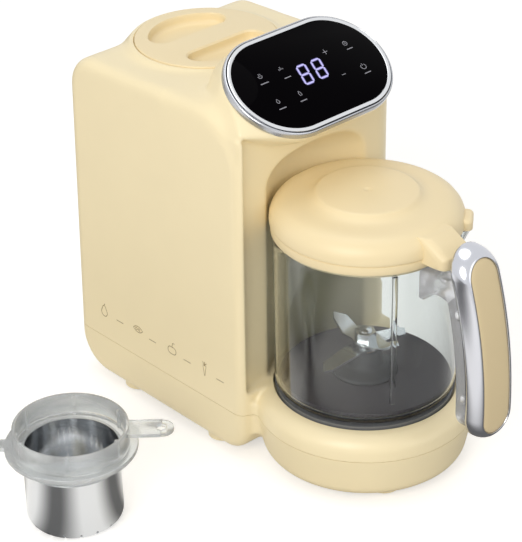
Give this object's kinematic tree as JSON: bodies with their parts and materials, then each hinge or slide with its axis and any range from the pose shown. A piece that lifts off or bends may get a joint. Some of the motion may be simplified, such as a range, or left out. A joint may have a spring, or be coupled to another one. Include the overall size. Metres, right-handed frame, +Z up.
{
  "type": "baby food maker",
  "caption": "Countertop steamer and blender: a cream tower with a tilted touch panel and lidded steam well, and a clear handled jug on a round drive base.",
  "frame": {"origin": "on the counter, under the axis of the jug and its motor", "axes": "+Z up along the jug's axis, +X to the right seen from the handle, and the tower stands towards +Y"},
  "size_m": [0.2938, 0.3201, 0.2657],
  "materials": {
    "cream_plastic": "satin moulded ABS",
    "cream_lid": "satin moulded polypropylene",
    "insert_cream": "soft satin",
    "foot_rubber": "matte",
    "bright_trim": "bright plated, lightly satin",
    "black_glass": "polished",
    "display_black": "matte",
    "dark_plastic": "matte",
    "jug_floor_dark": "satin",
    "circuit_board": "solder mask",
    "brushed_sheet": "brushed",
    "cup_steel": "drawn and polished",
    "blade_steel": "ground",
    "screw_steel": "plated",
    "bearing_steel": "ground",
    "core_steel": "laminated",
    "spring_steel": "drawn wire",
    "zinc_sheet": "zinc plated",
    "heater_sheath": "annealed",
    "cast_plate": "die cast",
    "magnet_coat": "coated",
    "copper_wire": "enamelled",
    "sintered_bronze": "sintered",
    "fuse_brass": "plain",
    "ceramic_switch": "fired",
    "relay_blue": "moulded",
    "capacitor_sleeve": "shrink sleeve",
    "dark_rubber": "matte",
    "white_silicone": "matte",
    "grey_silicone": "matte",
    "plunger_acetal": "satin",
    "jug_clear": "clear, polished",
    "collar_clear": "clear, faintly milky"
  },
  "bodies": {
    "machine": {"upper_housing": "cream_plastic", "lower_housing": "cream_plastic", "foot_pads": "foot_rubber", "head_bezel": "bright_trim", "panel_glass": "black_glass", "panel_tray": "dark_plastic", "display_board": "circuit_board", "digit_module": "display_black", "chamber": "brushed_sheet", "chamber_gasket": "white_silicone", "chamber_screws": "screw_steel", "heating_plate": "cast_plate", "heating_tube": "heater_sheath", "heater_bracket": "zinc_sheet", "thermostat": "ceramic_switch", "thermal_fuse": "fuse_brass", "heat_shield": "zinc_sheet", "power_board": "circuit_board", "transformer": "dark_plastic", "relays": "relay_blue", "capacitors": "capacitor_sleeve", "board_screws": "screw_steel", "cord_gland": "dark_rubber", "drive_seal": "grey_silicone", "motor_mount": "zinc_sheet", "mount_grommets": "dark_rubber", "motor_screws": "screw_steel", "stator_core": "core_steel", "stator_coils": "copper_wire", "motor_bearings": "bearing_steel", "housing_screws": "screw_steel"},
    "rotor": {"rotor_shell": "core_steel", "rotor_magnets": "magnet_coat", "motor_shaft": "bearing_steel", "drive_coupling": "dark_plastic"},
    "blade_carrier": {"blade_hub": "dark_plastic", "hub_bushes": "sintered_bronze"},
    "blades": {"blade_spindle": "bearing_steel", "lower_blade": "blade_steel", "upper_blade": "blade_steel", "blade_nut": "blade_steel", "driven_coupling": "dark_plastic"},
    "jug": {"jug_glass": "jug_clear", "jug_floor": "jug_floor_dark", "floor_seal": "grey_silicone", "jug_collar": "dark_plastic", "handle_bracket": "jug_clear", "handle_frame": "bright_trim", "handle_insert": "insert_cream", "handle_screws": "screw_steel"},
    "lid": {"jug_lid": "cream_lid", "lid_seal": "white_silicone"},
    "cap_plug": {"cap_liner": "brushed_sheet", "cap_seal": "white_silicone"},
    "cap": {"steam_cap": "cream_lid"},
    "basket": {"basket_cup": "cup_steel", "basket_collar": "collar_clear"},
    "interlock": {"lock_plunger": "plunger_acetal", "plunger_spring": "spring_steel"}
  },
  "joints": [
    {"name": "motor_spin", "type": "hinge", "parent": "machine", "child": "rotor", "pos_m": [0, 0, 0.03], "axis": [0, 0, 1], "continuous": true},
    {"name": "jug_lift", "type": "slide", "parent": "machine", "child": "blade_carrier", "axis": [0, 0, 1], "range_m": [0, 0.014]},
    {"name": "blade_spin", "type": "hinge", "parent": "blade_carrier", "child": "blades", "pos_m": [0, 0, 0.07], "axis": [0, 0, 1], "continuous": true},
    {"name": "jug_turn", "type": "hinge", "parent": "blade_carrier", "child": "jug", "pos_m": [0, 0, 0.06], "axis": [0, 0, 1], "range_deg": [-52, 0]},
    {"name": "lid_turn", "type": "hinge", "parent": "jug", "child": "lid", "pos_m": [0, 0, 0.17], "axis": [0, 0, 1], "range_deg": [0, 20]},
    {"name": "cap_lift", "type": "slide", "parent": "machine", "child": "cap_plug", "axis": [0, 0, 1], "range_m": [0, 0.05]},
    {"name": "cap_turn", "type": "hinge", "parent": "cap_plug", "child": "cap", "pos_m": [0, 0.1447, 0.24], "axis": [0, 0, 1], "range_deg": [0, 35]},
    {"name": "basket_lift", "type": "slide", "parent": "machine", "child": "basket", "axis": [0, 0, 1], "range_m": [0, 0.1]},
    {"name": "lock_press", "type": "slide", "parent": "machine", "child": "interlock", "axis": [0, 0, 1], "range_m": [-0.0015, 0], "stiffness_N_per_m": 300, "springref_m": 0.003, "deforming": ["plunger_spring"]}
  ],
  "couplings": [
    {"joint": "blade_spin", "follows": "motor_spin", "ratio": 1}
  ]
}
